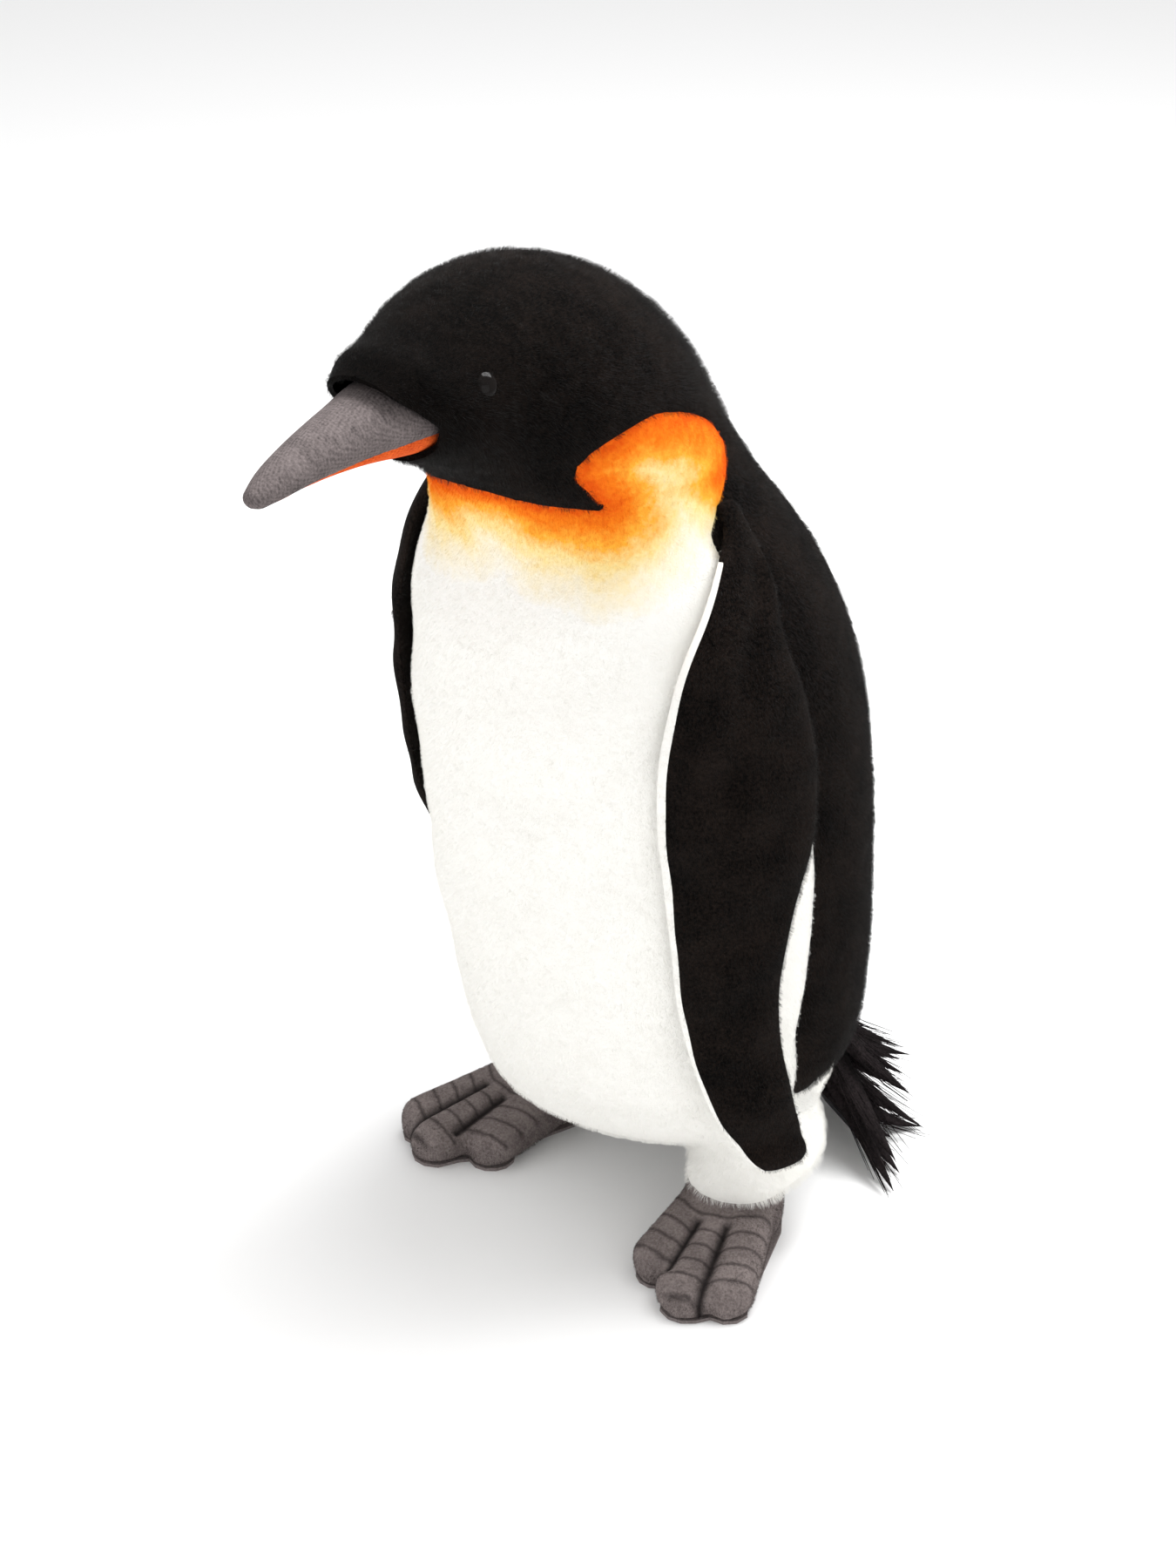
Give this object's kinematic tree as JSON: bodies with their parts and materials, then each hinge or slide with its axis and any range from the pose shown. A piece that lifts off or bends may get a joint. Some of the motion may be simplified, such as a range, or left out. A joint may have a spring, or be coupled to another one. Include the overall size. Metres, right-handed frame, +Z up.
{
  "type": "plush penguin",
  "caption": "Standing plush penguin with black back, white belly, orange ear patches, long curved beak, hanging flippers, fur tail and toed grey feet.",
  "frame": {"origin": "on the floor under the middle of the toy's bounding box, at the height of the soles", "axes": "+Z up, -Y the way the beak points, +X the toy's own left side"},
  "size_m": [0.2857, 0.4863, 0.6033],
  "materials": {
    "black_plush": "short pile plush, warm near-black",
    "white_plush": "short pile plush, cream white, with sprayed orange and yellow shading at the throat and ears",
    "grey_knit": "fine jersey knit, dark grey",
    "orange_knit": "fine jersey knit, orange red",
    "foot_plush": "short pile plush, grey brown with sprayed darker bars",
    "sole_felt": "flat felt, dark grey brown",
    "long_fur": "long pile fur drawn into pointed tufts, near-black",
    "lining": "plain woven backing cloth, black",
    "fibre_fill": "loose polyester fibre filling, white",
    "eye_plastic": "polished black",
    "washer_plastic": "moulded, natural white",
    "insole_board": "stiff board, plain",
    "steel_wire": "drawn wire",
    "pellet_cloth": "plain woven bag cloth",
    "label_satin": "smooth satin tape, blank white"
  },
  "bodies": {
    "torso": {"back_left_panel": "black_plush", "back_right_panel": "black_plush", "beak_lower": "orange_knit", "beak_stuffing": "fibre_fill", "beak_upper": "grey_knit", "body_stuffing": "fibre_fill", "care_label": "label_satin", "eye_left": "eye_plastic", "eye_right": "eye_plastic", "eye_washer_left": "washer_plastic", "eye_washer_right": "washer_plastic", "foot_left_sole": "sole_felt", "foot_left_stuffing": "fibre_fill", "foot_left_upper": "foot_plush", "foot_right_sole": "sole_felt", "foot_right_stuffing": "fibre_fill", "foot_right_upper": "foot_plush", "front_panel": "white_plush", "head_left_panel": "black_plush", "head_right_panel": "black_plush", "head_stuffing": "fibre_fill", "insole_left_board": "insole_board", "insole_right_board": "insole_board", "leg_left_cuff": "white_plush", "leg_left_stuffing": "fibre_fill", "leg_right_cuff": "white_plush", "leg_right_stuffing": "fibre_fill", "leg_wire": "steel_wire", "pellet_bag": "pellet_cloth", "seat_panel": "white_plush", "spine_wire": "steel_wire"},
    "flipper_left": {"flipper_left_outer": "black_plush", "flipper_left_lining": "white_plush", "flipper_left_stuffing": "fibre_fill"},
    "flipper_right": {"flipper_right_outer": "black_plush", "flipper_right_lining": "white_plush", "flipper_right_stuffing": "fibre_fill"},
    "tail": {"tail_fur": "long_fur", "tail_lining": "lining"}
  },
  "joints": [
    {"name": "flipper_left_lift", "type": "hinge", "parent": "torso", "child": "flipper_left", "pos_m": [0.09629, -0.00149, 0.4636], "axis": [-0.2079, -0.9781, 0], "range_deg": [0, 75]},
    {"name": "flipper_right_lift", "type": "hinge", "parent": "torso", "child": "flipper_right", "pos_m": [-0.08589, -0.00149, 0.4636], "axis": [-0.2079, 0.9781, 0], "range_deg": [0, 75]},
    {"name": "tail_lift", "type": "hinge", "parent": "torso", "child": "tail", "pos_m": [0.0052, 0.18918, 0.102], "axis": [1, 0, 0], "range_deg": [0, 35]}
  ]
}
